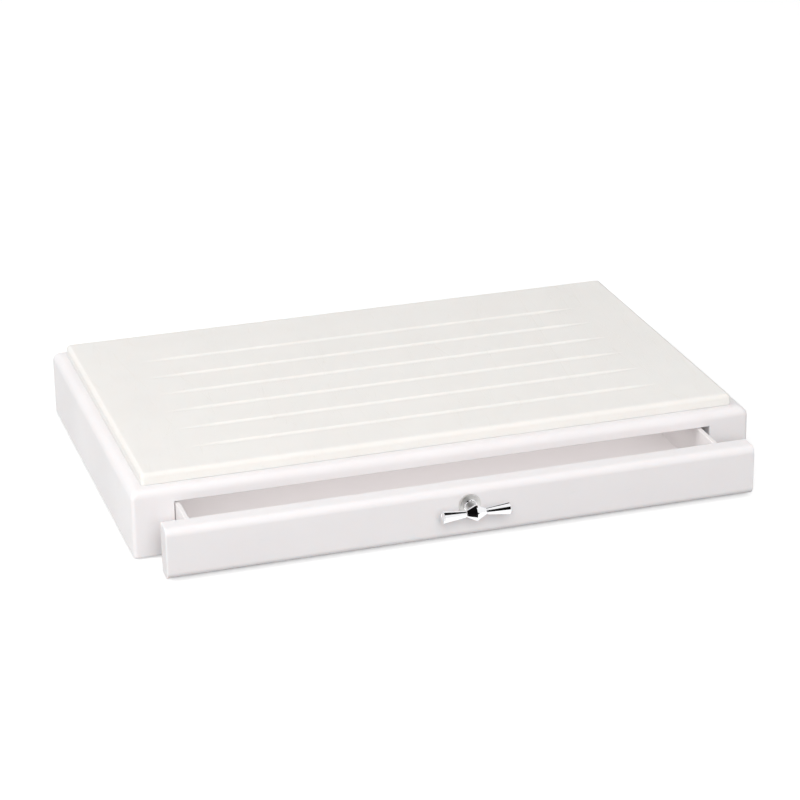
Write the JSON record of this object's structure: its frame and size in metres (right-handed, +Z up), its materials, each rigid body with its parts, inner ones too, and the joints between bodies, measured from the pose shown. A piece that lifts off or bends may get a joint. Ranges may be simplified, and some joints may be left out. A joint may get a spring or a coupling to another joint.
{
  "type": "bread board with drawer",
  "caption": "Low white housing with a grooved cutting board resting in its top and a shallow crumb drawer that pulls out of the long front by a small chrome T knob.",
  "frame": {"origin": "middle of the footprint on the table, with the drawer open as it is stored", "axes": "+X along the long side, -Y out of the front the way the drawer opens, +Z up"},
  "size_m": [0.53, 0.3966, 0.0685],
  "materials": {
    "housing_plastic": "satin white, moulded",
    "board_plastic": "fine matt texture, warm white",
    "front_plastic": "satin white, moulded",
    "drawer_plastic": "matt white sheet",
    "runner_plastic": "smooth natural white",
    "foot_rubber": "matt grey",
    "screw_steel": "zinc plated",
    "knob_chrome": "polished",
    "plate_chrome": "satin"
  },
  "bodies": {
    "housing": {"housing_shell": "housing_plastic", "base_panel": "housing_plastic", "base_panel_screws": "screw_steel", "runner_screws": "screw_steel", "foot_front_left": "foot_rubber", "foot_front_right": "foot_rubber", "foot_back_left": "foot_rubber", "foot_back_right": "foot_rubber", "runner_left": "runner_plastic", "runner_right": "runner_plastic"},
    "board": {"cutting_board": "board_plastic"},
    "drawer": {"drawer_front": "front_plastic", "drawer_side_left": "drawer_plastic", "drawer_side_right": "drawer_plastic", "drawer_back": "drawer_plastic", "drawer_bottom": "drawer_plastic", "corner_block_front_left": "drawer_plastic", "corner_block_front_right": "drawer_plastic", "corner_block_back_left": "drawer_plastic", "corner_block_back_right": "drawer_plastic", "drawer_floor_screws": "screw_steel", "drawer_side_screws": "screw_steel", "drawer_back_screws": "screw_steel", "drawer_front_screws": "screw_steel", "stop_pins": "screw_steel", "knob_rosette": "plate_chrome", "knob_hub": "knob_chrome", "knob_arm_left": "knob_chrome", "knob_arm_right": "knob_chrome", "knob_washer": "screw_steel", "knob_screw": "screw_steel"}
  },
  "joints": [
    {"name": "drawer_slide", "type": "slide", "parent": "housing", "child": "drawer", "axis": [0, -1, 0], "range_m": [-0.031, 0.2]},
    {"name": "board_lift", "type": "slide", "parent": "housing", "child": "board", "axis": [0, 0, 1], "range_m": [0, 0.05]}
  ]
}
